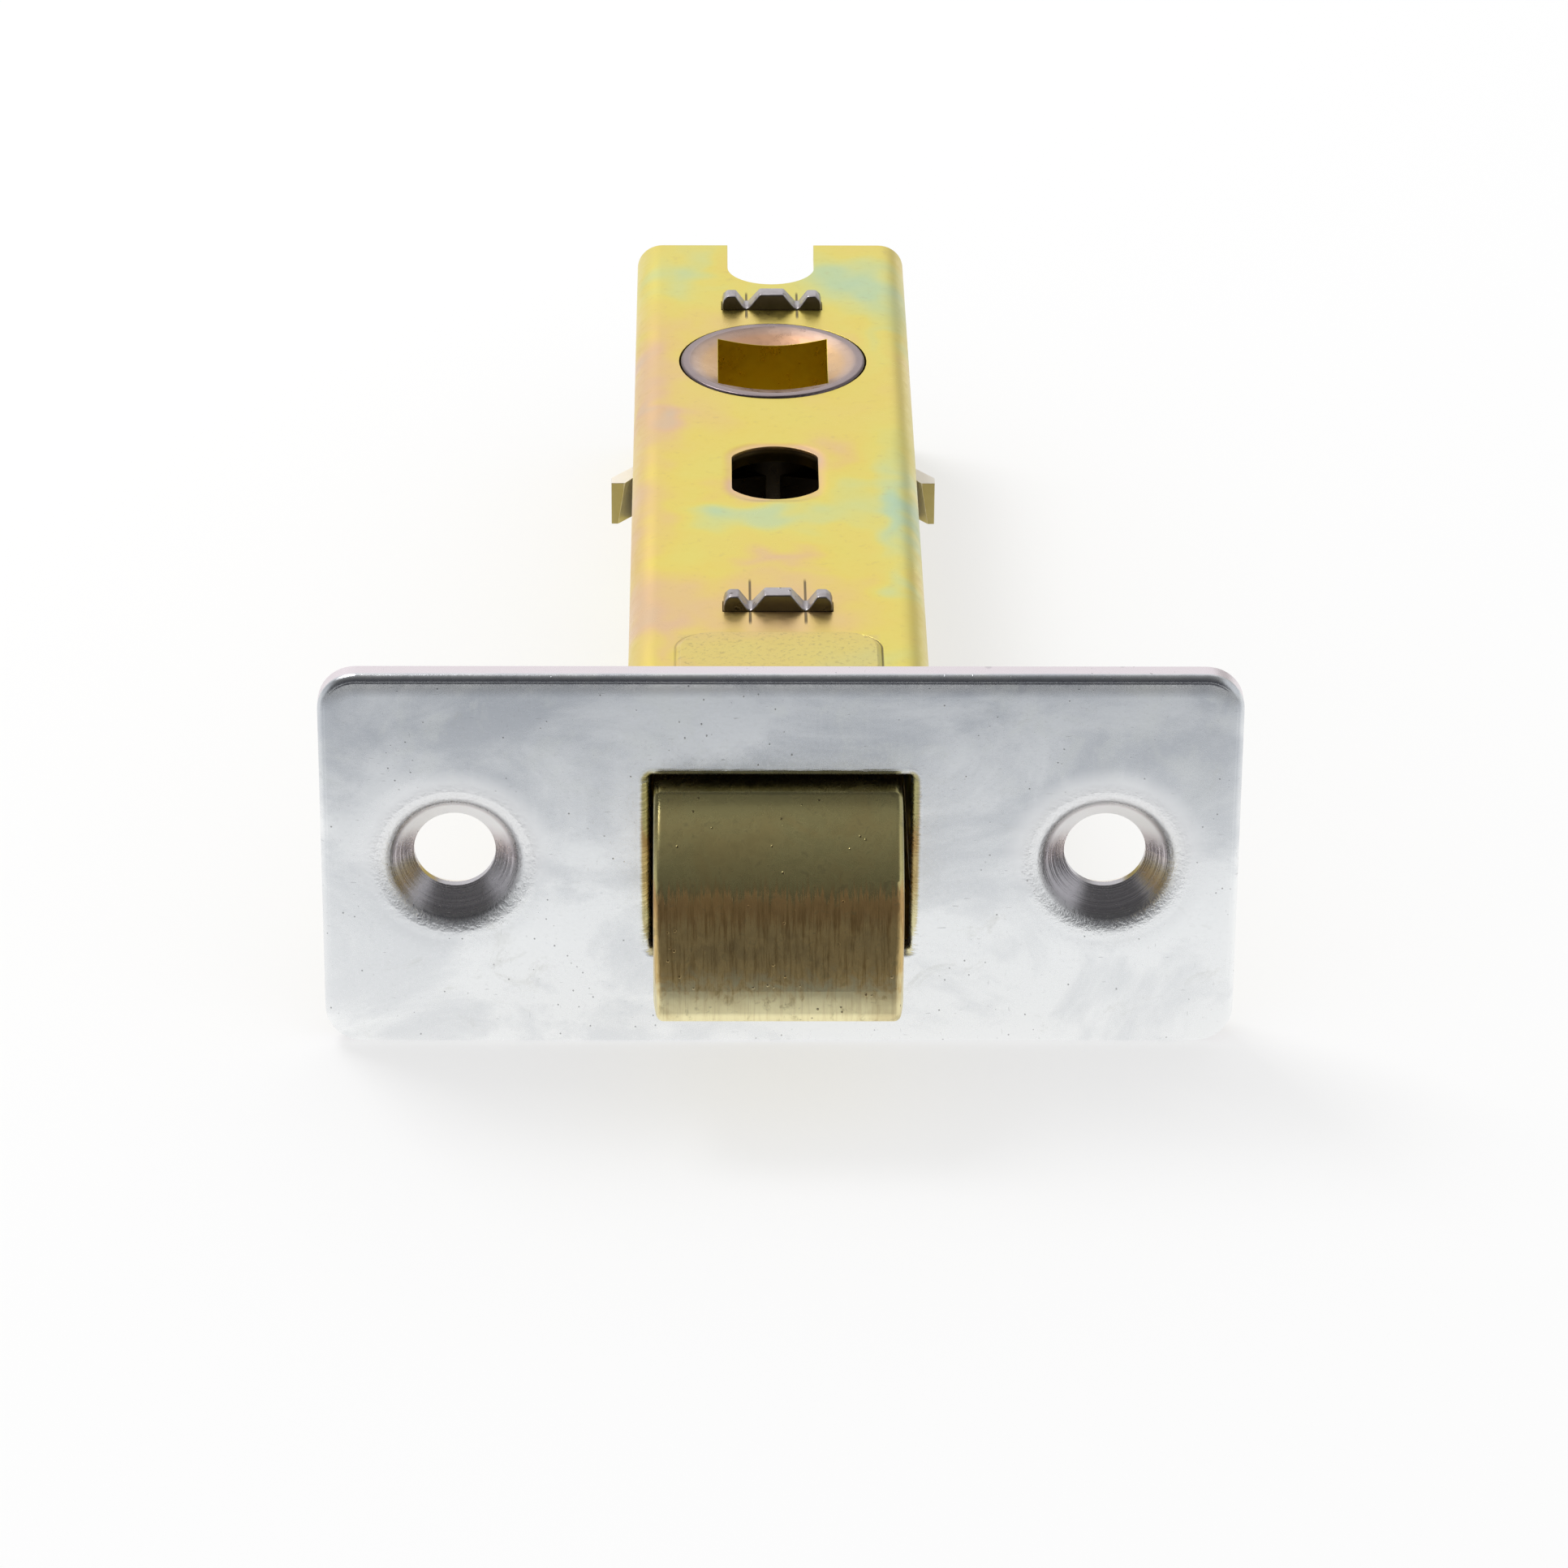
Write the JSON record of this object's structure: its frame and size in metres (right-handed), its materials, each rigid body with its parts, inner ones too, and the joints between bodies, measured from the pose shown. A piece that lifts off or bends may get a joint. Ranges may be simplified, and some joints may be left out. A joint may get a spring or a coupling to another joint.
{
  "type": "tubular door latch",
  "caption": "Sprung tubular latch for an interior door: rectangular forend, brass latch bolt, slim steel case, square spindle follower and bolt-through slots.",
  "frame": {"origin": "spindle axis at the middle of the case's height, 60 mm behind the forend's front face", "axes": "+Y into the door, away from the latch bolt; +Z along the spindle, on the side the bolt's curve faces; +X along the forend's long side"},
  "size_m": [0.057, 0.0912, 0.0256],
  "materials": {
    "bright_nickel": "bright plated, lightly clouded",
    "yellow_zinc": "yellow passivated zinc",
    "brass": "brushed brass",
    "grey_steel": "plain steel",
    "follower_zinc": "rose-gold passivated zinc",
    "spring_steel": "drawn spring wire"
  },
  "bodies": {
    "frame": {"faceplate": "bright_nickel", "inner_forend": "yellow_zinc", "case_shell": "yellow_zinc", "base_plate": "yellow_zinc", "front_pillar": "grey_steel", "rear_pillar": "grey_steel", "spring_guide_pin": "grey_steel", "bolt_spring": "spring_steel"},
    "follower": {"follower": "follower_zinc"},
    "yoke": {"yoke": "yellow_zinc"},
    "bolt": {"bolt": "brass", "bolt_pin_left": "grey_steel", "bolt_pin_right": "grey_steel"}
  },
  "joints": [
    {"name": "bolt_slide", "type": "slide", "parent": "frame", "child": "bolt", "axis": [0, 1, 0], "range_m": [0, 0.0104], "stiffness_N_per_m": 400, "springref_m": -0.01, "deforming": ["bolt_spring"]},
    {"name": "yoke_slide", "type": "slide", "parent": "frame", "child": "yoke", "axis": [0, 1, 0], "range_m": [0, 0.0104]},
    {"name": "follower_turn", "type": "hinge", "parent": "frame", "child": "follower", "pos_m": [0, 0, 0], "axis": [0, 0, 1], "range_deg": [0, 77]}
  ],
  "couplings": [
    {"joint": "yoke_slide", "follows": "bolt_slide", "ratio": 1},
    {"joint": "follower_turn", "follows": "bolt_slide", "rad_per_m": 129.22}
  ]
}
